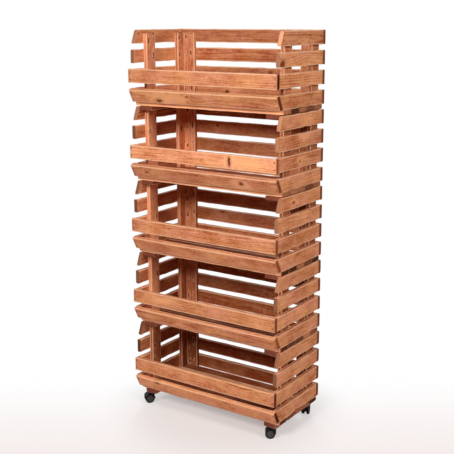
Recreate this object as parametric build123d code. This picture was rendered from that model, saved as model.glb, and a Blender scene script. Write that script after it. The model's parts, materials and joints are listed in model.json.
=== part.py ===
from build123d import *
import math
import os

# Overall sizes and slat stock, millimetres
rack_length = 600.0
rack_depth = 310.0
crate_count = 5
slat_width = 48.0
slat_thickness = 15.0
slat_gap = 18.0
slats_per_side = 4
edge_ease = 1.5

# Front of a crate: the slat that closes the front, and the slanted ends round it
front_slat_row = 2
lower_slat_tilt = 27.0
brow_top_setback = 39.0
brow_bottom_setback = 20.0

# Posts, floor and the cleats that locate one crate on the next
front_post_setback = 68.0
floor_gap_least = 3.0
floor_front_clearance = 1.1
cleat_side_clearance = 2.0
cleat_end_clearance = 2.0
rim_clearance = 3.0

# Nails
nail_shank_radius = 1.1
nail_head_radius = 2.4
nail_head_thickness = 1.0
nail_point_length = 3.0
nail_tip_radius = 0.15
nail_clearance = 0.03
nail_cover = 2.0
end_grain_bite = 25.0
crossing_nail_spread = 12.0
crossing_nail_step = 7.0
floor_nail_spread = 8.0
floor_nail_step = 6.0
foot_nail_spread = 18.0

# Castors
castor_height = 43.0
wheel_radius = 17.5
wheel_width = 8.5
wheel_gap = 0.5
wheel_edge_radius = 1.2
hub_recess_radius = 12.4
hub_recess_depth = 1.4
hub_cap_radius = 4.5
hub_cap_height = 0.9
axle_radius = 2.0
axle_grip = 6.0
castor_trail = 13.5
running_clearance = 0.05
web_thickness = 9.0
web_hub_radius = 8.5
hood_clearance = 0.8
hood_wall = 1.7
hood_overhang = 0.3
hood_edge_radius = 0.8
hood_start_angle = 28.0
hood_span_angle = 157.0
collar_radius = 7.0
collar_gap = 0.3
plate_size = 32.0
plate_thickness = 2.0
plate_corner_radius = 4.0
plate_hole_inset = 5.0
plate_end_inset = 3.0
plate_hole_clearance = 0.25
kingpin_radius = 2.5
kingpin_head_radius = 4.5
kingpin_head_thickness = 1.0
kingpin_depth = 15.0
kingpin_tip_radius = 3.0
kingpin_tip_length = 2.0
kingpin_tip_clearance = 0.3
screw_radius = 1.75
screw_length = 14.0
screw_head_radius = 3.3
screw_head_height = 1.8
screw_head_ease = 0.8
recess_length = 3.4
recess_width = 0.8
recess_depth = 0.9
swivel_rest_angles = {
    "front_left": 233.0,
    "front_right": 211.0,
    "rear_left": 62.0,
    "rear_right": 107.0,
}
cut_overrun = 1.0

# Heights inside a crate, counted up from the underside of its cleats
slat_pitch = slat_width + slat_gap
side_height = slats_per_side * slat_pitch - slat_gap
floor_bottom = slat_thickness
floor_top = floor_bottom + slat_thickness
crate_height = floor_top + side_height
post_top = crate_height - (slat_thickness - rim_clearance)
stack_pitch = post_top

# Places across the rack; y counts back from the centre of the depth
half_length = rack_length / 2
half_depth = rack_depth / 2
front_face = -half_depth
slat_front = front_face + slat_thickness
slat_rear = half_depth - slat_thickness
slat_inner = half_length - slat_thickness
post_inner = slat_inner - slat_thickness
front_post_centre = front_face + front_post_setback + slat_width / 2
rear_post_centre = slat_rear - slat_width / 2
back_post_centre = post_inner - slat_width / 2
back_post_front = slat_rear - slat_thickness
slat_centre_x = half_length - slat_thickness / 2
post_centre_x = slat_inner - slat_thickness / 2

# Slanted front end of the lowest side slat, which carries the lower front slat
tilt = math.radians(lower_slat_tilt)
cut_top_y = front_face + slat_thickness * math.cos(tilt)
cut_bottom_y = cut_top_y + slat_width * math.tan(tilt)

# Floor slats fill the space from the lower front slat to the back
floor_front = cut_bottom_y + floor_front_clearance
floor_span = slat_rear - floor_front
floor_slat_count = int((floor_span + floor_gap_least) // (slat_width + floor_gap_least))
floor_pitch = (floor_span - slat_width) / (floor_slat_count - 1)

# Cleats: under the floor, between the side slats of the crate below
cleat_outer = slat_inner - cleat_side_clearance
cleat_centre_x = cleat_outer - slat_width / 2
cleat_rear = slat_rear - cleat_end_clearance
cleat_length = cleat_rear - floor_front

# Nail lengths follow the boards that they join
crossing_nail_length = 2 * slat_thickness - nail_cover
end_nail_length = slat_thickness + end_grain_bite

# Castor places and heights
castor_place_x = cleat_outer - plate_size / 2
castor_place_y = floor_front + plate_end_inset + plate_size / 2
castor_rear_y = cleat_rear - plate_end_inset - plate_size / 2
plate_bottom = castor_height - plate_thickness
collar_top = plate_bottom - collar_gap
hood_inner_radius = wheel_radius + hood_clearance
hood_middle_radius = hood_inner_radius + hood_wall / 2
hood_outer_radius = hood_inner_radius + hood_wall
wheel_outer_face = web_thickness / 2 + wheel_gap + wheel_width
hood_half_width = wheel_outer_face + hood_overhang
kingpin_bottom = plate_bottom - kingpin_depth
screw_offset = plate_size / 2 - plate_hole_inset


def board(size_x, size_y, size_z, grain):
    """A planed board centred on the origin, its long arrises eased."""
    blank = Box(size_x, size_y, size_z)
    return fillet(blank.edges().filter_by(grain), edge_ease)


def row_height(row):
    """Mid-height of a slat row; row 0 is the top one."""
    return crate_height - slat_width / 2 - row * slat_pitch


def nail(length, clearance=0.0):
    """A nail driven down -Z with its head flush at the origin, or the hole that it fills."""
    shank = nail_shank_radius + clearance
    straight = length - nail_point_length
    head_depth = nail_head_thickness + clearance
    head = Cylinder(nail_head_radius + clearance, head_depth)
    body = Cylinder(shank, straight - nail_head_thickness)
    point = Cone(nail_tip_radius + clearance, shank, nail_point_length)
    solid = Pos(0, 0, -head_depth / 2) * head
    solid += Pos(0, 0, -(straight + nail_head_thickness) / 2) * body
    solid += Pos(0, 0, -straight - nail_point_length / 2) * point
    return solid


def driven(x, y, z, direction, length):
    """One nail as its place, its direction and its length."""
    return Plane(origin=(x, y, z), z_dir=[-part for part in direction]), length


def side_nails():
    """Two nails at each crossing of a side slat and a side post, driven from inside."""
    places = []
    for side in (-1, 1):
        for post_y in (front_post_centre, rear_post_centre):
            for row in range(slats_per_side):
                for turn in (-1, 1):
                    y = post_y + turn * crossing_nail_spread
                    z = row_height(row) + turn * crossing_nail_step
                    places.append(driven(side * post_inner, y, z, (side, 0, 0), crossing_nail_length))
    return places


def back_nails():
    """Two nails at each back post, and one through each back slat into the rear side post."""
    places = []
    for side in (-1, 1):
        for row in range(slats_per_side):
            for turn in (-1, 1):
                x = side * back_post_centre + turn * crossing_nail_spread
                z = row_height(row) + turn * crossing_nail_step
                places.append(driven(x, back_post_front, z, (0, 1, 0), crossing_nail_length))
            edge_x = side * post_centre_x
            places.append(driven(edge_x, half_depth, row_height(row), (0, -1, 0), end_nail_length))
    return places


def front_nails():
    """Two nails in each end of both front slats, into the ends of the side slats."""
    places = []
    slope_y = math.cos(tilt)
    slope_z = math.sin(tilt)
    mid_y, mid_z = lower_slat_outer_middle()
    for side in (-1, 1):
        x = side * slat_centre_x
        for turn in (-1, 1):
            z = row_height(front_slat_row) + turn * crossing_nail_spread
            places.append(driven(x, front_face, z, (0, 1, 0), end_nail_length))
            along_y = mid_y - turn * crossing_nail_spread * slope_z
            along_z = mid_z + turn * crossing_nail_spread * slope_y
            places.append(driven(x, along_y, along_z, (0, slope_y, slope_z), end_nail_length))
    return places


def floor_nails():
    """Two nails down through each floor slat into each cleat."""
    places = []
    for side in (-1, 1):
        for index in range(floor_slat_count):
            for turn in (-1, 1):
                x = side * cleat_centre_x + turn * floor_nail_spread
                y = floor_slat_centre(index) + turn * floor_nail_step
                places.append(driven(x, y, floor_top, (0, 0, -1), crossing_nail_length))
    return places


def foot_nails():
    """Two nails up through the floor slats into the foot of each post."""
    places = []
    for side in (-1, 1):
        for turn in (-1, 1):
            shift = turn * foot_nail_spread
            for post_y in (front_post_centre, rear_post_centre):
                x = side * post_centre_x
                places.append(driven(x, post_y + shift, floor_bottom, (0, 0, 1), end_nail_length))
            x = side * back_post_centre + shift
            y = slat_rear - slat_thickness / 2
            places.append(driven(x, y, floor_bottom, (0, 0, 1), end_nail_length))
    return places


def floor_slat_centre(index):
    """Middle of a floor slat in y; index 0 is the front one."""
    return floor_front + slat_width / 2 + index * floor_pitch


def lower_slat_outer_middle():
    """Middle of the outer face of the tilted lower front slat, as y and z."""
    top_z = row_height(slats_per_side - 1) + slat_width / 2
    edge_y = cut_top_y - slat_thickness * math.cos(tilt)
    edge_z = top_z - slat_thickness * math.sin(tilt)
    mid_y = edge_y + slat_width / 2 * math.sin(tilt)
    mid_z = edge_z - slat_width / 2 * math.cos(tilt)
    return mid_y, mid_z


def pierced(blank, holes):
    """The board with the hole of each nail that reaches it."""
    box = blank.bounding_box()
    near = [hole for hole in holes if boxes_meet(box, hole.bounding_box())]
    return blank - near if near else blank


def boxes_meet(one, other):
    """True where two bounding boxes overlap in x, y and z."""
    across = one.min.X < other.max.X and other.min.X < one.max.X
    along = one.min.Y < other.max.Y and other.min.Y < one.max.Y
    upright = one.min.Z < other.max.Z and other.min.Z < one.max.Z
    return across and along and upright


def slanted(blank, lower_point, upper_point):
    """The board with its front end cut along the line through two (y, z) points."""
    rise = upper_point[1] - lower_point[1]
    run = upper_point[0] - lower_point[0]
    forward = (0, -rise, run)
    cut = Plane(origin=(0, lower_point[0], lower_point[1]), z_dir=forward)
    return split(blank, bisect_by=cut, keep=Keep.BOTTOM)


def side_slat(side, row):
    """One side slat; the top and the lowest one have slanted front ends."""
    last = slats_per_side - 1
    z = row_height(row)
    top = z + slat_width / 2
    bottom = z - slat_width / 2
    front = {0: front_face + brow_bottom_setback, last: cut_top_y}.get(row, slat_front)
    length = slat_rear - front
    blank = Pos(side * slat_centre_x, front + length / 2, z) * board(
        slat_thickness, length, slat_width, Axis.Y)
    if row == 0:
        low_end = (front_face + brow_bottom_setback, bottom)
        blank = slanted(blank, low_end, (front_face + brow_top_setback, top))
    if row == last:
        blank = slanted(blank, (cut_bottom_y, bottom), (cut_top_y, top))
    return blank


def back_slat(row):
    """One back slat, nailed over the rear ends of the side slats."""
    y = half_depth - slat_thickness / 2
    return Pos(0, y, row_height(row)) * board(rack_length, slat_thickness, slat_width, Axis.X)


def upper_front_slat():
    """The upright front slat, against the ends of the third side slats."""
    y = front_face + slat_thickness / 2
    z = row_height(front_slat_row)
    return Pos(0, y, z) * board(rack_length, slat_thickness, slat_width, Axis.X)


def lower_front_slat():
    """The tilted front slat, on the slanted ends of the lowest side slats."""
    mid_y, mid_z = lower_slat_outer_middle()
    y = mid_y + slat_thickness / 2 * math.cos(tilt)
    z = mid_z + slat_thickness / 2 * math.sin(tilt)
    blank = board(rack_length, slat_thickness, slat_width, Axis.X)
    return Pos(0, y, z) * Rot(lower_slat_tilt, 0, 0) * blank


def posts():
    """Four side posts and two back posts, standing on the floor slats."""
    height = post_top - floor_top
    z = floor_top + height / 2
    solids = []
    for side in (-1, 1):
        for y in (front_post_centre, rear_post_centre):
            upright = board(slat_thickness, slat_width, height, Axis.Z)
            solids.append(Pos(side * post_centre_x, y, z) * upright)
        upright = board(slat_width, slat_thickness, height, Axis.Z)
        y = slat_rear - slat_thickness / 2
        solids.append(Pos(side * back_post_centre, y, z) * upright)
    return solids


def floor_slats():
    """The floor slats, side to side under the side slats."""
    z = floor_bottom + slat_thickness / 2
    blank = board(rack_length, slat_width, slat_thickness, Axis.X)
    return [Pos(0, floor_slat_centre(index), z) * blank for index in range(floor_slat_count)]


def cleats():
    """The two boards under the floor that drop between the side slats below."""
    y = floor_front + cleat_length / 2
    blank = board(slat_width, cleat_length, slat_thickness, Axis.Y)
    return [Pos(side * cleat_centre_x, y, slat_thickness / 2) * blank for side in (-1, 1)]


def crate_pieces():
    """Every board of one crate with its nail holes, and the nails, by name."""
    driven_nails = side_nails() + back_nails() + front_nails() + floor_nails() + foot_nails()
    holes = [place * nail(length, nail_clearance) for place, length in driven_nails]
    rows = range(slats_per_side)
    boards = {
        "left_side_slats": [side_slat(-1, row) for row in rows],
        "right_side_slats": [side_slat(1, row) for row in rows],
        "back_slats": [back_slat(row) for row in rows],
        "upper_front_slat": [upper_front_slat()],
        "lower_front_slat": [lower_front_slat()],
        "posts": posts(),
        "floor_slats": floor_slats(),
        "cleats": cleats(),
    }
    pieces = {name: [pierced(blank, holes) for blank in group] for name, group in boards.items()}
    pieces["nails"] = [place * nail(length) for place, length in driven_nails]
    return pieces


def castor_places():
    """Centre of each swivel plate, by corner, as x and y."""
    return {
        "front_left": (-castor_place_x, castor_place_y),
        "front_right": (castor_place_x, castor_place_y),
        "rear_left": (-castor_place_x, castor_rear_y),
        "rear_right": (castor_place_x, castor_rear_y),
    }


def screw_spots():
    """The four screw places of a plate about its centre."""
    return [(x * screw_offset, y * screw_offset) for x in (-1, 1) for y in (-1, 1)]


def castor_plate():
    """Steel mounting plate with four screw holes and a seat for the kingpin head."""
    blank = Box(plate_size, plate_size, plate_thickness)
    blank = fillet(blank.edges().filter_by(Axis.Z), plate_corner_radius)
    blank = Pos(0, 0, castor_height - plate_thickness / 2) * blank
    hole = Cylinder(screw_radius + plate_hole_clearance, plate_thickness + cut_overrun)
    holes = [Pos(x, y, castor_height - plate_thickness / 2) * hole for x, y in screw_spots()]
    seat = Cylinder(kingpin_head_radius, kingpin_head_thickness)
    seat = Pos(0, 0, castor_height - kingpin_head_thickness / 2) * seat
    bore = Cylinder(kingpin_radius, plate_thickness + cut_overrun)
    bore = Pos(0, 0, castor_height - plate_thickness / 2) * bore
    return blank - holes - seat - bore


def kingpin():
    """The pin that the castor swivels on, with a rivet head and a snap tip."""
    shaft_length = castor_height - kingpin_bottom
    shaft = Pos(0, 0, kingpin_bottom + shaft_length / 2) * Cylinder(kingpin_radius, shaft_length)
    head = Cylinder(kingpin_head_radius, kingpin_head_thickness)
    head = Pos(0, 0, castor_height - kingpin_head_thickness / 2) * head
    tip = Cylinder(kingpin_tip_radius, kingpin_tip_length)
    tip = Pos(0, 0, kingpin_bottom + kingpin_tip_length / 2) * tip
    return shaft + head + tip


def castor_screw():
    """A pan-head wood screw with a cross recess, head down under the plate."""
    shank = Cylinder(screw_radius, screw_length)
    shank = Pos(0, 0, plate_bottom + screw_length / 2) * shank
    head = Cylinder(screw_head_radius, screw_head_height)
    head = fillet(head.edges().group_by(Axis.Z)[0], screw_head_ease)
    head = Pos(0, 0, plate_bottom - screw_head_height / 2) * head
    floor = plate_bottom - screw_head_height + recess_depth / 2
    slot = Pos(0, 0, floor) * Box(recess_length, recess_width, recess_depth)
    cross = Pos(0, 0, floor) * Box(recess_width, recess_length, recess_depth)
    return shank + head - slot - cross


def screw_hole():
    """The hole that a castor screw cuts in the wood above the plate."""
    length = screw_length - plate_thickness
    hole = Cylinder(screw_radius + nail_clearance, length + nail_clearance)
    return Pos(0, 0, castor_height + (length + nail_clearance) / 2) * hole


def sector(radius, start, span):
    """A pie slice about the origin."""
    arc = CenterArc((0, 0), radius, start, span)
    return make_face([Line((0, 0), arc @ 0), arc, Line(arc @ 1, (0, 0))])


def castor_housing():
    """The moulded body: web between the wheels, hood over them and swivel collar."""
    axle_plane = Plane(origin=(castor_trail, 0, wheel_radius), x_dir=(1, 0, 0), z_dir=(0, -1, 0))
    slice_outer = sector(hood_outer_radius, hood_start_angle, hood_span_angle)
    shell = slice_outer - Circle(hood_inner_radius)
    hood = extrude(axle_plane * shell, hood_half_width, both=True)
    hood = fillet(hood_rim_edges(hood), hood_edge_radius)
    web = extrude(axle_plane * (slice_outer + Circle(web_hub_radius)), web_thickness / 2, both=True)
    collar_height = collar_top - wheel_radius
    collar = Pos(0, 0, wheel_radius + collar_height / 2) * Cylinder(collar_radius, collar_height)
    under_hood = extrude(axle_plane * Circle(hood_middle_radius), 2 * collar_radius, both=True)
    body = web + hood + (collar - under_hood)
    return body - kingpin_bore() - axle_bore(axle_plane)


def hood_rim_edges(hood):
    """The two long outer arcs of the hood."""
    arcs = hood.edges().filter_by(GeomType.CIRCLE)
    return [edge for edge in arcs if edge.radius > hood_middle_radius]


def kingpin_bore():
    """Running bore for the kingpin, with a wider pocket for its snap tip."""
    depth = collar_top - kingpin_bottom + cut_overrun
    bore = Cylinder(kingpin_radius + running_clearance, depth)
    bore = Pos(0, 0, kingpin_bottom + depth / 2) * bore
    pocket_length = kingpin_tip_length + 2 * kingpin_tip_clearance
    pocket = Cylinder(kingpin_tip_radius + kingpin_tip_clearance, pocket_length)
    return bore + Pos(0, 0, kingpin_bottom + kingpin_tip_length / 2) * pocket


def axle_bore(axle_plane):
    """Running bore for the axle through the web."""
    hole = Circle(axle_radius + running_clearance)
    return extrude(axle_plane * hole, web_thickness, both=True)


def castor_wheel(side):
    """One wheel with eased tread edges, a recessed face and a small hub cap."""
    wheel = Cylinder(wheel_radius, wheel_width)
    wheel = fillet(wheel.edges().filter_by(GeomType.CIRCLE), wheel_edge_radius)
    outer = wheel_width / 2
    recess = Pos(0, 0, outer - hub_recess_depth / 2) * Cylinder(hub_recess_radius, hub_recess_depth)
    cap_centre = outer - hub_recess_depth + hub_cap_height / 2
    cap = Pos(0, 0, cap_centre) * Cylinder(hub_cap_radius, hub_cap_height)
    socket = Pos(0, 0, -outer + axle_grip / 2) * Cylinder(axle_radius, axle_grip)
    wheel = wheel - recess + cap - socket
    middle = side * (web_thickness / 2 + wheel_gap + wheel_width / 2)
    return Plane(origin=(castor_trail, middle, wheel_radius), z_dir=(0, side, 0)) * wheel


def castor_axle():
    """The steel pin pressed into both wheels."""
    length = web_thickness + 2 * (wheel_gap + axle_grip)
    axle = Cylinder(axle_radius, length)
    return Plane(origin=(castor_trail, 0, wheel_radius), z_dir=(0, 1, 0)) * axle


def write(name, solids):
    """One STEP file for a node, holding each of its solids."""
    shape = solids[0] if len(solids) == 1 else Compound(children=solids)
    export_step(shape, f"parts/{name}.step")


def separate(shape):
    """The single solid of a finished shape."""
    solids = shape.solids()
    assert len(solids) == 1, f"expected one solid, found {len(solids)}"
    return solids[0]


def write_crates():
    """Every node of every crate; the bottom crate's cleats also take the castor screws."""
    pieces = crate_pieces()
    holes = [Pos(x + dx, y + dy, 0) * screw_hole()
             for x, y in castor_places().values() for dx, dy in screw_spots()]
    for index in range(crate_count):
        lift = Pos(0, 0, castor_height + index * stack_pitch)
        for name, group in pieces.items():
            placed = [separate(lift * blank) for blank in group]
            if index == 0 and name == "cleats":
                placed = [separate(pierced(cleat, holes)) for cleat in placed]
            write(f"crate_{index + 1}_{name}", placed)


def write_castors():
    """The castor pieces, one set at each corner of the bottom crate."""
    places = castor_places()
    for corner, (x, y) in places.items():
        turned = Pos(x, y, 0) * Rot(0, 0, swivel_rest_angles[corner])
        write(f"castor_{corner}_housing", [separate(turned * castor_housing())])
        write(f"castor_{corner}_wheels", [separate(turned * castor_wheel(side)) for side in (-1, 1)])
        write(f"castor_{corner}_axle", [separate(turned * castor_axle())])
    spots = list(places.values())
    write("castor_plates", [separate(Pos(x, y, 0) * castor_plate()) for x, y in spots])
    write("castor_kingpins", [separate(Pos(x, y, 0) * kingpin()) for x, y in spots])
    screws = [Pos(x + dx, y + dy, 0) * castor_screw() for x, y in spots for dx, dy in screw_spots()]
    write("castor_screws", [separate(screw) for screw in screws])


os.makedirs("parts", exist_ok=True)
write_crates()
write_castors()
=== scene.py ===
import json
import math
import random

import bmesh
import bpy
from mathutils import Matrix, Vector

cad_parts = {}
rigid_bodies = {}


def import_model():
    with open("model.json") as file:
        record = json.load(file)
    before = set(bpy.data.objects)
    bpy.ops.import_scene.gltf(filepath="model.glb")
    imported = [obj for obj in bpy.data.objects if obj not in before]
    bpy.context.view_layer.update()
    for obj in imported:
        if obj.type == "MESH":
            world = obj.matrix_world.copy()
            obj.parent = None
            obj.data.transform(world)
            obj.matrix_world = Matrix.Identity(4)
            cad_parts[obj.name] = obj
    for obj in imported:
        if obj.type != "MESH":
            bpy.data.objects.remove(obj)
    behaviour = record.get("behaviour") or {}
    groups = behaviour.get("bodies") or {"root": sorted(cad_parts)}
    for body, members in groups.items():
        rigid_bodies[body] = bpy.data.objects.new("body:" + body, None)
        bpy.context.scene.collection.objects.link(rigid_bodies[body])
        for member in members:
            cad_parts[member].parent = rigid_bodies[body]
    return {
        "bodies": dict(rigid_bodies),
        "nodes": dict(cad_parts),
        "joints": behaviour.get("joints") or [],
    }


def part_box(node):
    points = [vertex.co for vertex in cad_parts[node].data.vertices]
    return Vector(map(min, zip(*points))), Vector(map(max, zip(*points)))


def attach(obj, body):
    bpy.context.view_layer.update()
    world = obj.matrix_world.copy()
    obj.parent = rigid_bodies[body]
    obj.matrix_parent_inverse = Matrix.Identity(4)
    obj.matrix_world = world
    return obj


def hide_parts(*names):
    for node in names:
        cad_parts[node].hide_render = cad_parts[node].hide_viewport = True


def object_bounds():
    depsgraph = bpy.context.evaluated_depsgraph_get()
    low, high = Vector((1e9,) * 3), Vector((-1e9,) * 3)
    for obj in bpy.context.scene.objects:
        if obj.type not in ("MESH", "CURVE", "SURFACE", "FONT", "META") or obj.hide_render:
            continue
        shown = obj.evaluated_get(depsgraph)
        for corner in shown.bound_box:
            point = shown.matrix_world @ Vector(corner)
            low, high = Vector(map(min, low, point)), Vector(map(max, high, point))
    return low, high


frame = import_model()
cad_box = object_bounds()
bpy.ops.object.select_all(action="DESELECT")

# Side slats, eight to a crate: rough pine, 48 by 15 mm, sawn to length and nailed to the posts
# from inside. Their edges wander, because the boards are sawn close to the bark, and the top
# and bottom ones have slanted front ends. The stain was wiped on thin, so the grain shows.
X, Y, Z = range(3)
crate_count = 5
rows_in_crate = 4
slats_low, slats_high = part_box("crate_1_back_slats")
crate_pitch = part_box("crate_2_back_slats")[0].z - slats_low.z
slat_pitch = crate_pitch / rows_in_crate
slat_width = slats_high.z - slats_low.z - (rows_in_crate - 1) * slat_pitch
slat_thickness = slats_high.y - slats_low.y
half_length = slats_high.x
half_width = slat_width / 2
half_thickness = slat_thickness / 2
first_row = slats_low.z + half_width
wall_x = half_length - half_thickness
length_step = 0.012
width_step = 0.007
arris_ease = 0.0011
edge_band = arris_ease * 1.5
near_edge_band = width_step * 1.2
edge_wander, near_edge_wander, face_wander = 1.0, 0.22, 0.06
board_luck = random.Random(7)

wavy_edges = bpy.data.textures.new("wavy_edges", "CLOUDS")
wavy_edges.noise_scale = 0.042
wavy_edges.noise_depth = 1


def pick_edges(piece, axis):
    """In edit mode, selects the edges that run along one axis."""
    bpy.ops.mesh.select_all(action="DESELECT")
    mesh = bmesh.from_edit_mesh(piece.data)
    for edge in mesh.edges:
        way = edge.verts[1].co - edge.verts[0].co
        edge.select_set(abs(way[axis]) > 0.8 * way.length)
    bmesh.update_edit_mesh(piece.data)


def sawn_board(low, high, along, across, cuts=()):
    """A board between two corners, divided for shaping, with its arrises eased.

    along and across are the axes of its length and width. cuts are pairs of a point and an
    outward direction; what lies beyond each is sawn off. Every vertex remembers its spot on the
    board and its gap to the nearest end, and every face how far it is end grain.
    """
    low, high = Vector(low), Vector(high)
    middle = (low + high) / 2
    bpy.ops.mesh.primitive_cube_add(size=1.0, location=middle)
    board = bpy.context.object
    board.scale = high - low
    bpy.ops.object.transform_apply(location=True, rotation=True, scale=True)
    bpy.context.tool_settings.mesh_select_mode = (False, True, False)
    bpy.ops.object.mode_set(mode="EDIT")
    for point, outward in cuts:
        bpy.ops.mesh.select_all(action="SELECT")
        bpy.ops.mesh.bisect(plane_co=point, plane_no=outward, use_fill=True, clear_outer=True)
    for axis in (X, Y, Z):
        step = length_step if axis == along else width_step
        pick_edges(board, axis)
        bpy.ops.mesh.subdivide(number_cuts=round((high - low)[axis] / step))
    bpy.ops.mesh.select_all(action="DESELECT")
    bpy.ops.mesh.edges_select_sharp(sharpness=math.radians(40.0))
    bpy.ops.mesh.bevel(offset=arris_ease, segments=2, affect="EDGES")
    bpy.ops.object.mode_set(mode="OBJECT")

    mesh = board.data
    through = X + Y + Z - along - across
    half = (high - low) / 2
    spots, end_gaps = [], []
    groups = {edge_wander: [], near_edge_wander: [], face_wander: []}
    for vertex in mesh.vertices:
        place = vertex.co - middle
        gaps = [(Vector(point) - vertex.co).dot(outward) for point, outward in cuts]
        spots += [place[along], place[across], place[through]]
        end_gaps.append(min(gaps + [half[along] - abs(place[along])]))
        from_edge = half[across] - abs(place[across])
        weight = near_edge_wander if from_edge < near_edge_band else face_wander
        if from_edge < edge_band:
            weight = edge_wander
        groups[weight].append(vertex.index)
    ends = [abs(face.normal[along]) for face in mesh.polygons]
    rough = board.vertex_groups.new(name="rough")
    for weight, indices in groups.items():
        rough.add(indices, weight, "REPLACE")
    mesh.attributes.new("spot", "FLOAT_VECTOR", "POINT").data.foreach_set("vector", spots)
    mesh.attributes.new("end_gap", "FLOAT", "POINT").data.foreach_set("value", end_gaps)
    mesh.attributes.new("end_grain", "FLOAT", "FACE").data.foreach_set("value", ends)
    return board


def board_number(crate, place):
    """The number of a board, on which its grain and its luck hang: its crate and place there."""
    return (crate + 1) * 100.0 + place


# The tones lighten or darken a whole board: its own tone, and on many boards painted light and shade.
def lay_board(pattern, shift, number, tone=1.0, end_tone=1.0, tilt=0.0, wobble=0.15):
    """A copy of a board in its place, with its number and tones.

    It lies up to wobble degrees out of true.
    """
    copy = pattern.copy()
    copy.data = pattern.data.copy()
    bpy.context.scene.collection.objects.link(copy)
    corners = [Vector(corner) for corner in copy.bound_box]
    middle = sum(corners, Vector()) / len(corners)
    turns = [math.radians(board_luck.uniform(-wobble, wobble)) for axis in (X, Y, Z)]
    turn = Matrix.Rotation(tilt, 4, "X") @ Matrix.Rotation(turns[0], 4, "X")
    turn = turn @ Matrix.Rotation(turns[1], 4, "Y") @ Matrix.Rotation(turns[2], 4, "Z")
    there = Matrix.Translation(middle + Vector(shift))
    copy.data.transform(there @ turn @ Matrix.Translation(-middle))
    facts = copy.data.attributes.new("facts", "FLOAT_VECTOR", "POINT")
    facts.data.foreach_set("vector", (number, tone, end_tone) * len(copy.data.vertices))
    return copy


def join_boards(node, boards, finish, waviness=0.0025):
    """One piece of a node's boards, inside the outline of the rack.

    waviness, in metres, is how far its edges wander.
    """
    bpy.ops.object.select_all(action="DESELECT")
    for board in boards:
        board.select_set(True)
    piece = boards[0]
    bpy.context.view_layer.objects.active = piece
    bpy.ops.object.join()
    piece.name = node + "_sawn"
    piece.data.materials.append(finish)
    wander = piece.modifiers.new("wander", "DISPLACE")
    wander.texture = wavy_edges
    wander.texture_coords = "GLOBAL"
    wander.vertex_group = "rough"
    wander.mid_level = 0.72
    wander.strength = waviness
    bpy.ops.object.modifier_apply(modifier="wander")
    for vertex in piece.data.vertices:
        for axis in (X, Y, Z):
            vertex.co[axis] = min(max(vertex.co[axis], cad_box[0][axis]), cad_box[1][axis])
    bpy.ops.object.shade_smooth_by_angle(angle=math.radians(50.0))
    piece.select_set(False)
    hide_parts(node)
    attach(piece, "_".join(node.split("_")[:2]))


class Stain:
    """A number, colour or vector inside a finish; arithmetic on it adds Math nodes."""

    def __init__(self, socket):
        self.socket = socket

    def node(self, kind, settings, inputs, output=0):
        """One more node: its settings first, then the values or links of its sockets."""
        tree = self.socket.id_data
        made = tree.nodes.new(kind)
        for name, value in settings.items():
            setattr(made, name, value)
        for name, value in inputs.items():
            if isinstance(value, Stain):
                tree.links.new(value.socket, made.inputs[name])
            else:
                made.inputs[name].default_value = value
        return Stain(made.outputs[output])

    def math(self, operation, *values):
        return self.node("ShaderNodeMath", {"operation": operation}, dict(enumerate(values)))

    def __add__(self, other):
        return self.math("ADD", self, other)

    def __radd__(self, other):
        return self.math("ADD", other, self)

    def __sub__(self, other):
        return self.math("SUBTRACT", self, other)

    def __rsub__(self, other):
        return self.math("SUBTRACT", other, self)

    def __mul__(self, other):
        return self.math("MULTIPLY", self, other)

    def __rmul__(self, other):
        return self.math("MULTIPLY", other, self)

    def __truediv__(self, other):
        return self.math("DIVIDE", self, other)

    def __pow__(self, other):
        return self.math("POWER", self, other)

    def __abs__(self):
        return self.math("ABSOLUTE", self)

    def floor(self):
        return self.math("FLOOR", self)

    def sign(self):
        return self.math("SIGN", self)

    def sine(self):
        return self.math("SINE", self)

    def cosine(self):
        return self.math("COSINE", self)

    def fraction(self):
        return self.math("FRACT", self)

    def least(self, other):
        return self.math("MINIMUM", self, other)

    def most(self, other):
        return self.math("MAXIMUM", self, other)

    def over(self, limit):
        return self.math("GREATER_THAN", self, limit)

    def exponent(self):
        return self.math("EXPONENT", self)

    def rise(self, low, high):
        """0 below low, 1 above high and smooth in between; it falls where low is above high."""
        return self.node("ShaderNodeMapRange", {"interpolation_type": "SMOOTHSTEP"},
                         {"Value": self, "From Min": low, "From Max": high})

    def between(self, low, high):
        """A colour from low, where this value is 0, to high, where it is 1."""
        return self.node("ShaderNodeMix", {"data_type": "RGBA"}, {0: self, 6: low, 7: high}, 2)

    def shaded(self, amount):
        """This colour, darkened or lightened by a value."""
        settings = {"data_type": "RGBA", "blend_type": "MULTIPLY"}
        return self.node("ShaderNodeMix", settings, {0: 1.0, 6: self, 7: amount}, 2)

    def parts(self):
        """The three parts of a vector or a colour."""
        return [self.node("ShaderNodeSeparateXYZ", {}, {0: self}, axis) for axis in (X, Y, Z)]

    def joined(self, second, third):
        """A vector of this value and two more."""
        return self.node("ShaderNodeCombineXYZ", {}, {0: self, 1: second, 2: third})

    def chances(self, second=0.0):
        """Three fixed random numbers that go with this one, and with a second one."""
        return self.node("ShaderNodeTexWhiteNoise", {"noise_dimensions": "2D"},
                         {"Vector": self.joined(second, 0.0)}, 1).parts()

    def cloud(self, scale, detail=2.0, roughness=0.5):
        """Smooth noise from 0 to 1 at a place."""
        return self.node("ShaderNodeTexNoise", {}, {
            "Vector": self, "Scale": scale, "Detail": detail, "Roughness": roughness})

    def bumps(self, strength, distance):
        """The normal of a surface with this value as its height."""
        return self.node("ShaderNodeBump", {}, {
            "Strength": strength, "Distance": distance, "Height": self})


def new_finish(name):
    """A new material with its shader and the place of a point in the rack's own frame."""
    material = bpy.data.materials.new(name)
    material.use_nodes = True
    nodes = material.node_tree.nodes
    place = Stain(nodes.new("ShaderNodeTexCoord").outputs["Object"])
    return material, nodes["Principled BSDF"], place


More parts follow.
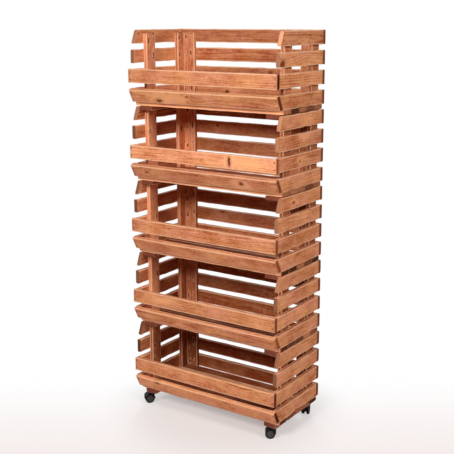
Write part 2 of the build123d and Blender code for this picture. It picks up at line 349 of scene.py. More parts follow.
def remembered(place, name, output):
    """What the vertices or faces of a piece remember under a name, as a Vector or a plain Fac."""
    return place.node("ShaderNodeAttribute", {"attribute_name": name}, {}, output)


def feed(shader, name, value):
    """Joins a value or colour to one socket of a shader."""
    shader.id_data.links.new(value.socket, shader.inputs[name])


def rows_of(place, first, pitch):
    """The number of the row that a place is in, and the place counted from that row's middle."""
    number = ((place - first) / pitch + 0.5).floor()
    return number, place - first - number * pitch


ring_width_least = 0.0030
ring_width_spread = 0.0040
ring_waves = 0.006
usual_late_wood = 0.22
heart_least = 0.010
heart_spread = 0.060
trunk_taper = 0.010
trunk_sway = 0.026
knot_spacing = 0.150
knot_scatter = 0.5
knot_roundness = 0.55
knot_chance = 0.05
knot_least = 0.0022
knot_spread = 0.0032
out_of_sight = 12.0
swerve_fall = 0.16
swerve_width = 1.2
curl_fall = 0.04
curl_width = 0.006
curl_raggedness = 0.016
stain_depth = 0.46
curl_paleness = 0.50
tone_depth = 0.9
mottle = 0.3
pore_share = 0.40
knot_halo_share = 0.45
arris_band = 0.0042
arris_fade = 0.0018
# How strongly the arrises are painted pale: partly wear, partly a painted highlight
arris_wear_and_highlight = 0.70
end_soak = 0.007
end_soak_share = 0.30
rust_fringe, rust_core = 0.0046, 0.0024
bruise_fringe, bruise_edge = 0.0095, 0.0060
bruise_start, bruise_full = 0.0030, 0.0050
wood_gloss = 0.06

pale_stain = (0.905, 0.420, 0.200, 1.0)
deep_stain = (0.400, 0.092, 0.024, 1.0)
golden_cast = (1.02, 0.98, 0.91, 1.0)
pink_cast = (1.00, 0.92, 1.05, 1.0)
late_wood = (0.330, 0.085, 0.028, 1.0)
knot_wood = (0.100, 0.026, 0.012, 1.0)
pale_wear_and_highlight = (1.000, 0.620, 0.380, 1.0)
nail_stain = (0.085, 0.024, 0.012, 1.0)


def drawn_out(spot, number, squeeze, apart, fineness, detail, roughness=0.5):
    """Noise drawn out along the grain of a board.

    squeeze is how much slower it changes along the board than across it, and apart keeps two
    boards from having the same pattern.
    """
    along, across, through = spot
    return (along * squeeze + number * apart).joined(across, through).cloud(fineness, detail, roughness)


def stained_pine(name, end_colours, knots=(), curls=(), nail_gap=None, rust=0.8, bruise=0.0):
    """Stained pine for the boards of one kind.

    knots and curls are (board number, along, across, size, length of its shape); a curl is
    grain that bends round a knot just under the face. nail_gap turns a place on the rack into
    its gap to the nearest nail; rust and bruise are how dark the wood is at a nail and how
    pale it is just round it.
    """
    material, shader, place = new_finish(name)
    spot = remembered(place, "spot", "Vector").parts()
    along, across, through = spot
    number, tone, end_tone = remembered(place, "facts", "Vector").parts()
    end_gap = remembered(place, "end_gap", "Fac")
    end = remembered(place, "end_grain", "Fac").rise(0.60, 0.80)
    heart_turn, heart_far, ring_luck = number.chances(1.0)
    tone_luck, cast_luck, sway_luck = number.chances(2.0)

    # Knots: one may lie in each stretch of a board; the grain swerves round them
    grit = place.cloud(scale=420.0, detail=3.0)
    lumps = place.cloud(scale=95.0)
    stretch = along / knot_spacing + ring_luck
    along_luck, across_luck, knot_luck = number.chances(stretch.floor() + 3.0)
    knot_size = knot_least + knot_spread * across_luck
    from_knot = stretch.fraction() - 0.5 - (along_luck - 0.5) * knot_scatter
    from_knot = from_knot * knot_spacing * knot_roundness
    from_knot_across = across - (across_luck - 0.5) * half_width * 1.7
    knot = (from_knot ** 2 + from_knot_across ** 2) ** 0.5 / knot_size
    knot = knot + knot_luck.over(knot_chance) * out_of_sight
    for its_number, knot_along, knot_across, size, shape in knots:
        other_board = abs(number - its_number).over(0.5)
        far = ((along - knot_along) / shape) ** 2 + (across - knot_across) ** 2
        knot = knot.least(far ** 0.5 / size + other_board * out_of_sight)
    knot = knot + (grit - 0.5) * 0.6 + (lumps - 0.5) * 1.1
    swerve = (knot * knot * -swerve_fall).exponent()
    curl = (knot * knot * -curl_fall).exponent() * 0.5
    for its_number, curl_along, curl_across, size, shape in curls:
        this_board = 1.0 - abs(number - its_number).over(0.5)
        far = ((along - curl_along) / shape) ** 2 + (across - curl_across) ** 2
        curl = curl + (far * (-1.0 / size ** 2)).exponent() * this_board

    # Growth rings round the heart of the trunk, which sways and tapers along the board
    sway = (along * 3.0).joined(number * 3.17, sway_luck * 3.0).cloud(scale=1.0)
    turn = heart_turn * math.tau
    far = heart_least + heart_far * heart_spread
    heart_across = far * turn.sine() + (sway - 0.5) * trunk_sway
    heart_through = far * turn.cosine() + (sway - 0.5) * trunk_sway
    to_heart = ((across - heart_across) ** 2 + (through - heart_through) ** 2) ** 0.5
    waves = drawn_out(spot, number, squeeze=0.13, apart=3.17, fineness=70.0, detail=3.0)
    rings = to_heart + along * trunk_taper + (waves - 0.5) * ring_waves
    rings = rings + swerve * knot_size * swerve_width
    rings = rings + curl * (curl_width + (lumps - 0.5) * curl_raggedness)
    ring = rings / (ring_width_least + ring_width_spread * ring_luck)
    strength = ring.floor().chances(number)[0]
    late = ring.fraction().rise(0.25, 0.90) * ring.fraction().rise(1.0, 0.90)
    late = late * (0.30 + 0.70 * strength)

    # Fibres, pores, streaks along the board and the blotches that a wiped stain leaves
    fibre = drawn_out(spot, number, squeeze=0.045, apart=1.0, fineness=1150.0, detail=3.0, roughness=0.65)
    pores = drawn_out(spot, number, squeeze=0.05, apart=1.7, fineness=2400.0, detail=1.0).rise(0.64, 0.74)
    streak = drawn_out(spot, number, squeeze=0.11, apart=2.3, fineness=170.0, detail=4.0, roughness=0.68)
    blotch = drawn_out(spot, number, squeeze=0.50, apart=3.1, fineness=30.0, detail=3.0, roughness=0.6)
    cast = drawn_out(spot, number, squeeze=0.60, apart=5.7, fineness=13.0, detail=2.0)
    drift = (along + number * 7.9).joined(across * 0.5, 0.0).cloud(scale=7.0, detail=1.0)

    # How deep the stain went in: each pattern with its usual value and what it adds above that
    depth = stain_depth
    for pattern, usual, share in (
            (streak, 0.5, 1.00), (blotch, 0.5, 1.35), (fibre, 0.5, 0.85), (late, usual_late_wood, 0.50),
            (lumps, 0.5, 0.55), (grit, 0.5, 0.40), (tone_luck, 0.5, 0.18), (drift, 0.5, 0.80)):
        depth = depth + share * (pattern - usual)
    # The board's tone, on many boards painted light and shade as well as its own tone, sets the stain
    # deeper or paler here and shades the wood below.
    depth = depth - curl_paleness * curl + tone_depth * (1.0 - tone)
    pinkness = (cast * 2.6 + cast_luck * 0.3 - 0.95).rise(0.1, 0.9)
    wood = depth.between(pale_stain, deep_stain)
    wood = wood.shaded(pinkness.between(golden_cast, pink_cast))
    wood = wood.shaded(tone * (1.0 + mottle * (streak + blotch - 1.0)))
    wood = (pores * pore_share).between(wood, late_wood)

    knot_rings = (knot * 2.3 + grit).fraction().rise(0.1, 0.9)
    wood = (knot.rise(2.8, 0.9) * knot_halo_share).between(wood, late_wood)
    wood = knot.rise(1.20, 0.85).between(wood, knot_rings.between(knot_wood, late_wood))

    # Arrises worn pale and given a painted highlight, ends that drank the stain, and the rust round each
    # nail
    from_side = abs(across) - half_width + arris_band
    from_face = abs(through) - half_thickness + arris_band
    rubbed_and_highlit = from_side.least(from_face).rise(0.0, arris_fade) * (grit + blotch).rise(0.65, 1.0)
    wood = (rubbed_and_highlit * arris_wear_and_highlight).between(wood, pale_wear_and_highlight)
    soaked = (end_gap + (grit - 0.5) * 0.006).rise(end_soak, 0.0)
    wood = (soaked * end_soak_share).between(wood, late_wood)
    end_wood = (late * 0.6 + grit * 0.5 + (1.0 - end_tone) * 0.5).between(*end_colours)
    wood = end.between(wood, end_wood.shaded((0.55 + grit * 0.9) * end_tone))
    roughness = 0.52 + 0.16 * fibre + 0.08 * late + 0.16 * end
    if nail_gap:
        gap = nail_gap(place) + (grit - 0.5) * 0.003 + (lumps - 0.5) * 0.002
        bruised = gap.rise(bruise_fringe, bruise_edge) * gap.rise(bruise_start, bruise_full)
        bruised = bruised * grit.rise(0.40, 0.60)
        rusted = gap.rise(rust_fringe, rust_core)
        wood = (bruised * bruise).between(wood, pale_wear_and_highlight)
        wood = (rusted * rust).between(wood, nail_stain)
        roughness = roughness + 0.1 * rusted
    feed(shader, "Base Color", wood)
    feed(shader, "Roughness", roughness)
    shader.inputs["Specular IOR Level"].default_value = wood_gloss
    height = fibre * 0.5 + late * 0.5 + streak * 0.4 - pores * 0.5 + end * grit * 1.4
    height = height - knot.rise(1.3, 0.9) * grit
    feed(shader, "Normal", height.bumps(strength=0.6, distance=0.0006))
    return material


slope = math.radians(27.0)
rear_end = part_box("crate_1_left_side_slats")[1].y
front_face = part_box("crate_1_upper_front_slat")[0].y
square_end = front_face + slat_thickness
lean_top_end = front_face + slat_thickness * math.cos(slope)
lean_bottom_end = lean_top_end + slat_width * math.tan(slope)
brow_top_end = front_face + 0.039
brow_bottom_end = front_face + 0.020
overcut = 0.006


def slanted_end(low_end, high_end, row_low, row_high):
    """The saw cut of a side slat's front end through its lower and upper corner."""
    outward = Vector((0.0, row_low - row_high, high_end - low_end)).normalized()
    return (0.0, low_end, row_low), outward


def side_slat(row, front, cuts=()):
    """The pattern of a right side slat of the bottom crate."""
    middle = first_row + row * slat_pitch
    low = (half_length - slat_thickness, front, middle - half_width)
    high = (half_length, rear_end, middle + half_width)
    return sawn_board(low, high, Y, Z, cuts)


bottom_z = first_row - half_width
brow_z = bottom_z + 3 * slat_pitch
lean_cut = slanted_end(lean_bottom_end, lean_top_end, bottom_z, bottom_z + slat_width)
brow_cut = slanted_end(brow_bottom_end, brow_top_end, brow_z, brow_z + slat_width)
side_patterns = [
    side_slat(0, lean_top_end - overcut, [lean_cut]),
    side_slat(1, square_end),
    side_slat(2, square_end),
    side_slat(3, brow_bottom_end - overcut, [brow_cut]),
]
side_ends = ((0.860, 0.420, 0.240, 1.0), (0.450, 0.150, 0.070, 1.0))
side_end_tones = {"left": (0.45, 0.50, 0.45, 0.65), "right": (0.35, 0.80, 0.75, 1.05)}
# Side slat ends are darker towards the bottom crate.
side_end_crate_tones = (0.62, 0.80, 0.75, 0.95, 1.00)
# The right wall is paler all over, painted light on its lit side; the left wall is darker in the lower
# crates, painted shade inside them.
side_lit_and_shaded_tones = {"left": (0.82, 0.84, 0.95, 0.97, 1.02), "right": (1.06, 1.06, 1.06, 1.06, 1.02)}
row_tones = (1.03, 1.04, 1.00, 0.99)
# Boards that stand out, by side, crate and row: how much paler or darker they are
odd_side_tones = {("right", 4, 3): 0.91, ("right", 4, 2): 1.04, ("right", 4, 0): 0.96}
side_knots = [(517.0, -0.124, -0.014, 0.0125, 1.0), (416.0, -0.004, -0.002, 0.0035, 1.2),
              (508.0, -0.112, 0.010, 0.0030, 1.2)]
side_curls = [(417.0, 0.030, 0.012, 0.0100, 5.0), (416.0, -0.004, -0.002, 0.0110, 1.6),
              (518.0, 0.020, -0.014, 0.0090, 4.0)]
side_pine = stained_pine("side_slat_pine", side_ends, side_knots, side_curls)
first_side_number = {"left": 5.0, "right": 15.0}

for crate in range(crate_count):
    for side, way in (("left", -1), ("right", 1)):
        boards = []
        for row, pattern in enumerate(side_patterns):
            shift = ((way - 1) * wall_x, 0.0, crate * crate_pitch)
            number = board_number(crate, first_side_number[side] + row)
            end_tone = side_end_tones[side][row] * side_end_crate_tones[crate] * board_luck.uniform(0.8, 1.15)
            tone = side_lit_and_shaded_tones[side][crate] * row_tones[row] * odd_side_tones.get((side, crate, row), 1.0)
            tone = tone * board_luck.uniform(0.95, 1.05)
            boards.append(lay_board(pattern, shift, number, tone, end_tone))
        join_boards(f"crate_{crate + 1}_{side}_side_slats", boards, side_pine, 0.0045)
for pattern in side_patterns:
    bpy.data.objects.remove(pattern)

# Back slats, four to a crate: boards of the same pine that run the whole length of the rack and
# are nailed over the rear ends of the side slats, with one nail at each end.
rear_post_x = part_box("crate_1_posts")[1].x - half_thickness
back_pattern = sawn_board((-half_length, slats_low.y, bottom_z),
                          (half_length, slats_high.y, bottom_z + slat_width), X, Z)


def back_nail_gap(place):
    """One nail in each end of each back slat."""
    x, y, z = place.parts()
    across = rows_of(z, first_row, slat_pitch)[1]
    return ((abs(x) - rear_post_x) ** 2 + across ** 2 + (y - slats_high.y) ** 2) ** 0.5


back_knots = [(432.0, -0.130, 0.009, 0.0050, 0.6), (530.0, -0.087, 0.000, 0.0050, 1.6)]
back_curls = [(432.0, -0.130, 0.000, 0.0120, 1.4), (530.0, -0.070, 0.004, 0.0120, 2.5)]
# Back slats are darker in the lower crates, painted shade inside the crates.
back_shaded_tones = (0.66, 0.72, 0.84, 0.92, 0.92)
# Boards set apart by crate and row: the darker ones carry painted shade and the paler one painted light
back_row_light_and_shade = {(4, 3): 0.80, (4, 1): 0.76, (3, 2): 1.04, (3, 1): 0.79}
first_back_number = 30.0
back_ends = (late_wood, knot_wood)
back_pine = stained_pine("back_slat_pine", back_ends, back_knots, back_curls, back_nail_gap, rust=0.6)
for crate in range(crate_count):
    boards = []
    for row in range(rows_in_crate):
        shift = (0.0, 0.0, crate * crate_pitch + row * slat_pitch)
        number = board_number(crate, first_back_number + row)
        tone = back_row_light_and_shade.get((crate, row), back_shaded_tones[crate])
        boards.append(lay_board(back_pattern, shift, number, tone, wobble=0.05))
    join_boards(f"crate_{crate + 1}_back_slats", boards, back_pine)
bpy.data.objects.remove(back_pattern)

# Upper front slat of each crate: it stands upright across the front, nailed into the side slats.
# These were picked clean and straight, and took the stain lightly.
upper_low, upper_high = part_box("crate_1_upper_front_slat")
front_nail_spread = 0.012
upper_pattern = sawn_board(upper_low, upper_high, X, Z)
upper_middle = (upper_low + upper_high) / 2


def end_nail_gap(x, across, through):
    """Two nails in each end of a front slat."""
    sideways = (abs(x) - wall_x) ** 2 + (abs(across) - front_nail_spread) ** 2
    return (sideways + (through + half_thickness) ** 2) ** 0.5


def upper_nail_gap(place):
    """The gap to the nearest nail of the upper front slats."""
    x, y, z = place.parts()
    across = rows_of(z, upper_middle.z, crate_pitch)[1]
    return end_nail_gap(x, across, y - upper_middle.y)


upper_tones = (1.05, 0.97, 1.01, 1.17, 0.98)
upper_end_tones = (0.45, 0.72, 0.80, 0.94, 0.28)
upper_knots = [(450.0, 0.120, 0.001, 0.0150, 0.36)]
upper_curls = [(450.0, 0.120, 0.000, 0.0140, 1.2), (450.0, 0.200, 0.000, 0.0180, 5.0),
               (250.0, -0.160, 0.004, 0.0110, 6.0)]
upper_number = 50.0
front_ends = ((0.620, 0.180, 0.065, 1.0), (0.160, 0.022, 0.006, 1.0))
upper_pine = stained_pine("upper_front_pine", front_ends, upper_knots, upper_curls, upper_nail_gap,
                          rust=0.25)
for crate, tone in enumerate(upper_tones):
    shift = (0.0, 0.0, crate * crate_pitch)
    number = board_number(crate, upper_number)
    board = lay_board(upper_pattern, shift, number, tone, upper_end_tones[crate], wobble=0.0)
    join_boards(f"crate_{crate + 1}_upper_front_slat", [board], upper_pine, 0.0018)
bpy.data.objects.remove(upper_pattern)

# Lower front slat of each crate: it leans out at the top, on the slanted ends of the side slats,
# and closes the front down to the floor.
lower_low, lower_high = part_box("crate_1_lower_front_slat")
lower_middle = (lower_low + lower_high) / 2
lower_half = Vector((half_length, half_thickness, half_width))
lower_pattern = sawn_board(lower_middle - lower_half, lower_middle + lower_half, X, Z)


def lower_nail_gap(place):
    """The gap to the nearest nail of the leaning slats."""
    x, y, z = place.parts()
    rise = rows_of(z, lower_middle.z, crate_pitch)[1]
    back = y - lower_middle.y
    across = rise * math.cos(slope) - back * math.sin(slope)
    return end_nail_gap(x, across, back * math.cos(slope) + rise * math.sin(slope))


lower_tones = (1.16, 1.09, 1.05, 0.96, 0.97)
lower_end_tones = (0.34, 0.95, 0.85, 0.72, 0.48)
lower_knots = [(570.0, -0.178, -0.013, 0.0060, 1.8), (570.0, -0.055, 0.009, 0.0030, 1.2),
               (470.0, 0.160, 0.000, 0.0060, 1.2)]
lower_curls = [(570.0, -0.150, -0.008, 0.0160, 1.8), (570.0, -0.125, 0.000, 0.0180, 3.0),
               (570.0, -0.085, -0.004, 0.0150, 1.8), (470.0, 0.152, -0.002, 0.0170, 1.8),
               (470.0, 0.176, -0.008, 0.0150, 1.5)]
lower_number = 70.0
lower_pine = stained_pine("lower_front_pine", front_ends, lower_knots, lower_curls, lower_nail_gap,
                          rust=0.20)
for crate, tone in enumerate(lower_tones):
    shift = (0.0, 0.0, crate * crate_pitch)
    number = board_number(crate, lower_number)
    board = lay_board(lower_pattern, shift, number, tone, lower_end_tones[crate], slope, wobble=0.0)
    join_boards(f"crate_{crate + 1}_lower_front_slat", [board], lower_pine, 0.0018)
bpy.data.objects.remove(lower_pattern)

# Posts, six to a crate: two inside each side wall and two inside the back, with the slats
# nailed through them. Each nail has bruised the wood, and its rust has run along the grain.
posts_low, posts_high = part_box("crate_1_posts")
side_post_x = posts_high.x - half_thickness
front_post_y = posts_low.y + half_width
rear_post_y = posts_high.y - half_width
back_post_x = posts_high.x - slat_thickness - half_width
back_post_y = posts_high.y - half_thickness
nail_spread = 0.012
nail_step = 0.007
stray_along = 0.018
stray_aside = 0.008
rust_wander = 0.010
longest_run = 0.26
run_spread = 0.30
faint_limit = 0.66
faint_gap = 0.003


def post_nail_gap(place):
    """Two nails at each crossing of a post and a slat, one high and one low.

    Each has strayed a little, its rust has run more or less far, and some hardly show.
    """
    x, y, z = place.parts()
    row, from_row = rows_of(z, first_row, slat_pitch)
    is_side = abs(x).over(side_post_x - half_thickness)
    side_across = y - front_post_y - y.over(0.0) * (rear_post_y - front_post_y)
    back_across = x - x.sign() * back_post_x
    across = is_side * side_across + (1.0 - is_side) * back_across
    through = is_side * (abs(x) - side_post_x) + (1.0 - is_side) * (y - back_post_y)
    turn = across.sign()
    apart = x.sign() * 2.0 + y.over(0.0) + is_side * 7.0
    luck, length_luck, aside_luck = (row * 5.0 + turn).chances(apart)
    faint = (row * 3.0 + turn * 1.5).chances(apart)[0].over(faint_limit) * faint_gap
    run = from_row - turn * nail_step + (luck - 0.5) * stray_along
    run = run * (longest_run + run_spread * length_luck)
    ragged = place.cloud(scale=150.0, detail=1.0)
    stray = (aside_luck - 0.5) * stray_aside + (ragged - 0.5) * rust_wander
    across = across - turn * nail_spread + stray
    return (across ** 2 + run ** 2 + (through + half_thickness) ** 2 * 0.4) ** 0.5 + faint


# Post tones by side and crate carry painted light and shade: the right posts of the lower four crates and
# the left ones of the bottom crate are darker, painted shade inside the crates, and the left posts of
# crate 4 and the front left posts of crates 2 and 3 are paler, painted light.
front_post_lit_and_shaded_tones = {-1: (0.80, 1.10, 1.18, 1.14, 1.04), 1: (0.60, 0.60, 0.64, 0.70, 0.92)}
rear_post_lit_and_shaded_tones = {-1: (0.70, 0.95, 1.04, 1.24, 0.92), 1: (0.56, 0.58, 0.62, 0.70, 0.94)}
back_post_lit_and_shaded_tones = {-1: (0.58, 0.92, 0.96, 1.22, 0.94), 1: (0.56, 0.60, 0.66, 0.76, 0.94)}
middle_post_number = 80.0
rear_post_step, back_post_step = 4.0, 8.0
post_ends = (late_wood, knot_wood)
post_pine = stained_pine("post_pine", post_ends, nail_gap=post_nail_gap, rust=0.82, bruise=0.5)
side_post = sawn_board((side_post_x - half_thickness, front_post_y - half_width, posts_low.z),
                       (side_post_x + half_thickness, front_post_y + half_width, posts_high.z), Z, Y)
back_post = sawn_board((back_post_x - half_width, back_post_y - half_thickness, posts_low.z),
                       (back_post_x + half_width, back_post_y + half_thickness, posts_high.z), Z, X)
for crate in range(crate_count):
    boards = []
    for way in (-1, 1):
        number = board_number(crate, middle_post_number + way)
        rise = crate * crate_pitch
        shift = ((way - 1) * side_post_x, 0.0, rise)
        boards.append(lay_board(side_post, shift, number, front_post_lit_and_shaded_tones[way][crate]))
        shift = ((way - 1) * side_post_x, rear_post_y - front_post_y, rise)
        boards.append(lay_board(side_post, shift, number + rear_post_step, rear_post_lit_and_shaded_tones[way][crate]))
        shift = ((way - 1) * back_post_x, 0.0, rise)
        boards.append(lay_board(back_post, shift, number + back_post_step, back_post_lit_and_shaded_tones[way][crate]))
    join_boards(f"crate_{crate + 1}_posts", boards, post_pine)
bpy.data.objects.remove(side_post)
bpy.data.objects.remove(back_post)

# Floor slats, five to a crate, laid side to side under the posts and side slats. Their sawn ends
# show along the foot of each side wall, some pale and some dark.
floor_low, floor_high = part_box("crate_1_floor_slats")
floor_count = 5
floor_pitch = (floor_high.y - floor_low.y - slat_width) / (floor_count - 1)
floor_pattern = sawn_board(floor_low, (floor_high.x, floor_low.y + slat_width, floor_high.z), X, Y)
floor_ends = ((0.660, 0.250, 0.115, 1.0), (0.150, 0.030, 0.010, 1.0))
# The front floor slat is made much paler, painted light where it shows under the leaning slat, and the
# slats behind it darker, painted shade inside the crate.
floor_front_lit_tone = 1.45
first_floor_number = 60.0
floor_pine = stained_pine("floor_slat_pine", floor_ends)
for crate in range(crate_count):
    boards = []
    for row in range(floor_count):
        shift = (0.0, row * floor_pitch, crate * crate_pitch)
        tone = floor_front_lit_tone if row == 0 else board_luck.uniform(0.60, 0.84)
        end_tone = board_luck.uniform(0.25, 1.25)
        number = board_number(crate, first_floor_number + row)
        boards.append(lay_board(floor_pattern, shift, number, tone, end_tone, wobble=0.05))
    join_boards(f"crate_{crate + 1}_floor_slats", boards, floor_pine)
bpy.data.objects.remove(floor_pattern)

# Cleats, two under each floor: they drop between the side slats of the crate below and stand on
# its posts. The castors of the bottom crate are screwed up into them.
cleat_low, cleat_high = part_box("crate_1_cleats")
cleat_pattern = sawn_board((cleat_high.x - slat_width, cleat_low.y, cleat_low.z), cleat_high, Y, X)
cleat_ends = ((0.310, 0.090, 0.048, 1.0), (0.120, 0.028, 0.014, 1.0))
# The cleats are darkened, painted shade under the floor.
cleat_shaded_tone = 0.76
middle_cleat_number = 95.0
cleat_pine = stained_pine("cleat_pine", cleat_ends)
for crate in range(crate_count):
    boards = []
    for way in (-1, 1):
        shift = ((way - 1) * (cleat_high.x - half_width), 0.0, crate * crate_pitch)
        number = board_number(crate, middle_cleat_number + way)
        boards.append(lay_board(cleat_pattern, shift, number, cleat_shaded_tone, wobble=0.0))
    join_boards(f"crate_{crate + 1}_cleats", boards, cleat_pine)
bpy.data.objects.remove(cleat_pattern)

# Nails, 96 to a crate: plain steel, driven flush with the wood at every crossing of two boards,
# gone dull and brown under the stain.
nail_steel, nail_shader, nail_place = new_finish("nail_steel")
nail_dirt = nail_place.cloud(scale=900.0, detail=3.0)
nail_colours = ((0.160, 0.055, 0.028, 1.0), (0.300, 0.125, 0.070, 1.0))
feed(nail_shader, "Base Color", nail_dirt.rise(0.3, 0.7).between(*nail_colours))
feed(nail_shader, "Roughness", 0.48 + 0.3 * nail_dirt)
nail_shader.inputs["Metallic"].default_value = 0.3


def coat(node, material):
    """Gives a carried-over piece its finish."""
    piece = frame["nodes"][node]
    piece.data.materials.clear()
    piece.data.materials.append(material)


for crate in range(crate_count):
    coat(f"crate_{crate + 1}_nails", nail_steel)

# Castor wheels, a pair to each castor: moulded nylon discs with a black tread and a dark grey
# face, dished between the rim and the hub cap and stiffened by six ribs.
wheel_low, wheel_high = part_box("castor_front_left_wheels")
wheel_radius = (wheel_high.z - wheel_low.z) / 2
wheel_width = 0.0085
wheel_middle = 0.00925
rim_width = 0.0056
dish_depth = 0.0014
wall_lean = 0.0005
tread_round = 0.0012
hub_radius = 0.0044
cap_wall = 0.0004
cap_height = 0.0009
cap_rim = 0.0010
cap_dome = 0.0003
pocket_wall = 0.0005
pocket_depth = 0.0006
pocket_start, pocket_end = 0.1, 0.9
rib_count = 6
steps_per_rib = 10
flat_enough = 0.99
near_axis = 0.001
level_slack = 0.0001


def pick_faces(piece, wanted):
    """In edit mode, selects the faces that a test on their middle and normal wants."""
    bpy.ops.mesh.select_all(action="DESELECT")
    mesh = bmesh.from_edit_mesh(piece.data)
    for face in mesh.faces:
        face.select_set(bool(wanted(face.calc_center_median(), face.normal)))
    bmesh.update_edit_mesh(piece.data)


def moulded_wheel():
    """One wheel about the Z axis, its outer face up."""
    bpy.ops.mesh.primitive_cylinder_add(vertices=rib_count * steps_per_rib, radius=wheel_radius,
                                        depth=wheel_width, end_fill_type="NGON")
    wheel = bpy.context.object
    bpy.ops.object.mode_set(mode="EDIT")
    bpy.context.tool_settings.mesh_select_mode = (False, True, False)
    bpy.ops.mesh.select_all(action="DESELECT")
    bpy.ops.mesh.edges_select_sharp(sharpness=math.radians(60.0))
    bpy.ops.mesh.bevel(offset=tread_round, segments=3, affect="EDGES")
    bpy.context.tool_settings.mesh_select_mode = (False, False, True)
    for side in (-1, 1):

        def is_end(middle, normal):
            return normal.z * side > flat_enough and middle.xy.length < near_axis

        pick_faces(wheel, is_end)
        bpy.ops.mesh.inset(thickness=rim_width - tread_round)
        bpy.ops.mesh.inset(thickness=wall_lean, depth=-dish_depth)
        bpy.ops.mesh.inset(thickness=wheel_radius - rim_width - wall_lean - hub_radius)
        bpy.ops.mesh.inset(thickness=cap_wall, depth=cap_height)
        bpy.ops.mesh.inset(thickness=cap_rim, depth=cap_dome)
    face_height = wheel_width / 2 - dish_depth
    for rib in range(rib_count):
        start = rib * math.tau / rib_count

        def in_pocket(middle, normal):
            angle = (math.atan2(middle.y, middle.x) - start) % math.tau
            in_dish = normal.z > flat_enough and abs(middle.z - face_height) < level_slack
            return in_dish and pocket_start < angle / math.tau * rib_count < pocket_end

        pick_faces(wheel, in_pocket)
        bpy.ops.mesh.inset(thickness=pocket_wall, depth=-pocket_depth)
    bpy.ops.object.mode_set(mode="OBJECT")
    from_axis = [vertex.co.xy.length for vertex in wheel.data.vertices]
    wheel.data.attributes.new("from_axis", "FLOAT", "POINT").data.foreach_set("value", from_axis)
    bpy.ops.object.shade_smooth_by_angle(angle=math.radians(35.0))
    return wheel


black_plastic = (0.0045, 0.0042, 0.0040, 1.0)
grey_plastic = (0.058, 0.052, 0.048, 1.0)
dusty_plastic = (0.150, 0.140, 0.130, 1.0)
plastic_gloss = 0.12


def moulded_plastic(name, plain, is_face=None):
    """Moulded plastic with a fine grain, scuffs and dust.

    is_face tells the face of a wheel from its tread.
    """
    material, shader, place = new_finish(name)
    grain = place.cloud(scale=1400.0)
    scuffs = place.cloud(scale=190.0, detail=4.0, roughness=0.7).rise(0.52, 0.74)
    colour = (scuffs * 0.10).between(plain, dusty_plastic)
    if is_face:
        face = is_face(place)
        colour = face.between(colour, (scuffs * 0.5 + grain * 0.2).between(grey_plastic, dusty_plastic))
    feed(shader, "Base Color", colour)
    feed(shader, "Roughness", 0.30 + 0.14 * grain + 0.2 * scuffs)
    feed(shader, "Normal", grain.bumps(strength=0.2, distance=0.0002))
    shader.inputs["Specular IOR Level"].default_value = plastic_gloss
    return material


def inside_rim(place):
    """1 on the face of a wheel and 0 on its rim."""
    dish_radius = wheel_radius - rim_width
    return remembered(place, "from_axis", "Fac").rise(dish_radius + tread_round, dish_radius)


wheel_nylon = moulded_plastic("wheel_nylon", black_plastic, inside_rim)
wheel_pattern = moulded_wheel()
castors = [body.removesuffix("_wheelset") for body in frame["bodies"] if body.endswith("_wheelset")]
for joint in frame["joints"]:
    castor = joint["name"].removesuffix("_roll")
    if castor not in castors:
        continue
    wheels = []
    for side in (-1, 1):
        outward = Vector(joint["axis"]) * side
        wheel = wheel_pattern.copy()
        wheel.data = wheel_pattern.data.copy()
        bpy.context.scene.collection.objects.link(wheel)
        place = Matrix.Translation(Vector(joint["pos_m"]) + outward * wheel_middle)
        wheel.data.transform(place @ outward.to_track_quat("Z", "Y").to_matrix().to_4x4())
        wheels.append(wheel)
    bpy.ops.object.select_all(action="DESELECT")
    for wheel in wheels:
        wheel.select_set(True)
    pair = wheels[0]
    bpy.context.view_layer.objects.active = pair
    bpy.ops.object.join()
    pair.name = castor + "_wheels_moulded"
    pair.data.materials.append(wheel_nylon)
    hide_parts(castor + "_wheels")
    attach(pair, castor + "_wheelset")
bpy.data.objects.remove(wheel_pattern)

# Castor housings, plates, kingpins, screws and axles: each moulded black hood with its web turns
# on a kingpin that is riveted into a zinc-plated steel plate, and four screws hold the plate to a
# cleat of the bottom crate.
hood_plastic = moulded_plastic("hood_plastic", black_plastic)
castor_steel, steel_shader, steel_place = new_finish("castor_steel")
spangle = steel_place.cloud(scale=300.0)
zinc_colours = ((0.30, 0.29, 0.28, 1.0), (0.50, 0.48, 0.46, 1.0))
feed(steel_shader, "Base Color", spangle.between(*zinc_colours))
feed(steel_shader, "Roughness", 0.34 + 0.2 * spangle)
steel_shader.inputs["Metallic"].default_value = 1.0
for castor in castors:
    coat(castor + "_housing", hood_plastic)
    coat(castor + "_axle", castor_steel)
for node in ("castor_plates", "castor_kingpins", "castor_screws"):
    coat(node, castor_steel)

# Stage: a pale studio floor that runs out into white behind the rack and far from it, and keeps
# the shadow at the rack's foot. A large soft lamp stands in front, one to the right and a weaker
# one behind, and the camera is a little above the top of the rack.
camera_yaw = math.radians(34.237)
floor_radius = 30.0
shade_tint_gone, shade_tint_full = 2.6, 1.1
shadow_gone, shadow_full = 0.50, 0.20
shadow_strength = 0.60
white = (1.0, 1.0, 1.0, 1.0)
floor_painted_shade = (0.905, 0.830, 0.812, 1.0)
lit_floor = (0.90, 0.875, 0.865, 1.0)
unseen_floor = (0.62, 0.59, 0.58, 1.0)
bpy.ops.mesh.primitive_circle_add(vertices=64, radius=floor_radius, fill_type="NGON",
                                  location=(0.0, 0.0, 0.0))
floor = bpy.context.object
floor.name = "studio_floor"
floor_finish, floor_shader, floor_place = new_finish("studio_floor")
floor_shader.inputs["Roughness"].default_value = 0.9
floor_shader.inputs["Specular IOR Level"].default_value = 0.1
floor_x, floor_y = floor_place.parts()[:2]
nearness = floor_x * math.sin(camera_yaw) - floor_y * math.cos(camera_yaw)
tree = floor_finish.node_tree
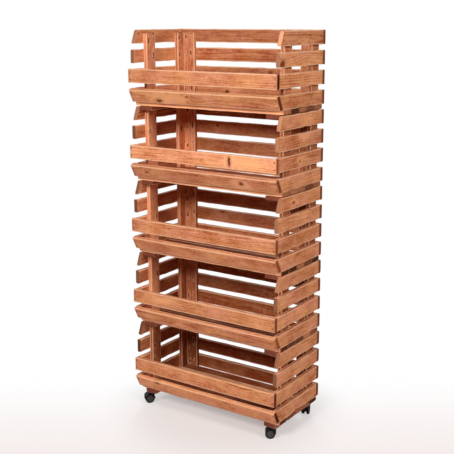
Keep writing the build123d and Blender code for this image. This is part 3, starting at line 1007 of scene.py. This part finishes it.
paper = tree.nodes.new("ShaderNodeEmission")
far = (floor_x ** 2 + floor_y ** 2) ** 0.5
# The floor's glow is painted a pinkish grey shade near the rack and towards the front right, fading to
# white far off and behind it.
painted_shade_share = nearness.rise(-0.35, 0.55) * far.rise(shade_tint_gone, shade_tint_full)
paper_and_painted_shade = painted_shade_share.between(white, floor_painted_shade)
tree.links.new(paper_and_painted_shade.socket, paper.inputs["Color"])
rays = Stain(tree.nodes.new("ShaderNodeLightPath").outputs["Is Camera Ray"])
feed(floor_shader, "Base Color", rays.between(unseen_floor, lit_floor))
shadow_share = far.rise(shadow_gone, shadow_full) * nearness.rise(-0.45, -0.10) * shadow_strength
blend = rays.node("ShaderNodeMixShader", {}, {
    0: rays * (1.0 - shadow_share), 1: Stain(floor_shader.outputs[0]), 2: Stain(paper.outputs[0])})
tree.links.new(blend.socket, tree.nodes["Material Output"].inputs["Surface"])
floor.data.materials.append(floor_finish)

world = bpy.data.worlds.new("studio")
bpy.context.scene.world = world
world.use_nodes = True
sky = world.node_tree.nodes["Background"]
light_path = world.node_tree.nodes.new("ShaderNodeLightPath")
seen = Stain(light_path.outputs["Is Camera Ray"])
seen = seen.most(Stain(light_path.outputs["Is Glossy Ray"]))
seen = seen.most(Stain(light_path.outputs["Is Transmission Ray"]))
ambient = 0.02
feed(sky, "Strength", ambient + seen * (1.0 - ambient))
sky.inputs["Color"].default_value = white

lamp_size = 0.9
rack_middle = Vector((0.0, 0.0, 0.75))


def soft_box(name, place, power):
    """A square studio lamp at a place, looking at the middle of the rack."""
    lamp = bpy.data.lights.new(name, "AREA")
    lamp.shape = "SQUARE"
    lamp.size = lamp_size
    lamp.energy = power
    holder = bpy.data.objects.new(name, lamp)
    holder.location = place
    look = rack_middle - Vector(place)
    holder.rotation_mode = "QUATERNION"
    holder.rotation_quaternion = look.to_track_quat("-Z", "Y")
    bpy.context.scene.collection.objects.link(holder)


soft_box("front_light", (0.26, -2.99, 2.50), power=84.0)
soft_box("side_light", (3.33, -1.08, 2.60), power=75.0)
soft_box("rear_light", (-1.80, 2.80, 2.40), power=54.0)

lens_pixels = 895.98
photo_pixels = 454.0
horizon_pixel = 214.0
camera_pitch = math.radians(12.426)
camera_roll = math.radians(-0.120)
camera_place = (1.7384, -2.5451, 1.4176)
camera = bpy.data.cameras.new("camera")
camera.sensor_width = 36.0
camera.lens = lens_pixels / photo_pixels * camera.sensor_width
camera.shift_y = horizon_pixel / photo_pixels - 0.5
camera.clip_end = 100.0
view = bpy.data.objects.new("camera", camera)
view.location = camera_place
turned = Matrix.Rotation(camera_yaw, 4, "Z") @ Matrix.Rotation(math.pi / 2 - camera_pitch, 4, "X")
view.rotation_mode = "QUATERNION"
view.rotation_quaternion = (turned @ Matrix.Rotation(camera_roll, 4, "Z")).to_quaternion()
bpy.context.scene.collection.objects.link(view)
bpy.context.scene.camera = view
bpy.context.scene.view_settings.view_transform = "Standard"
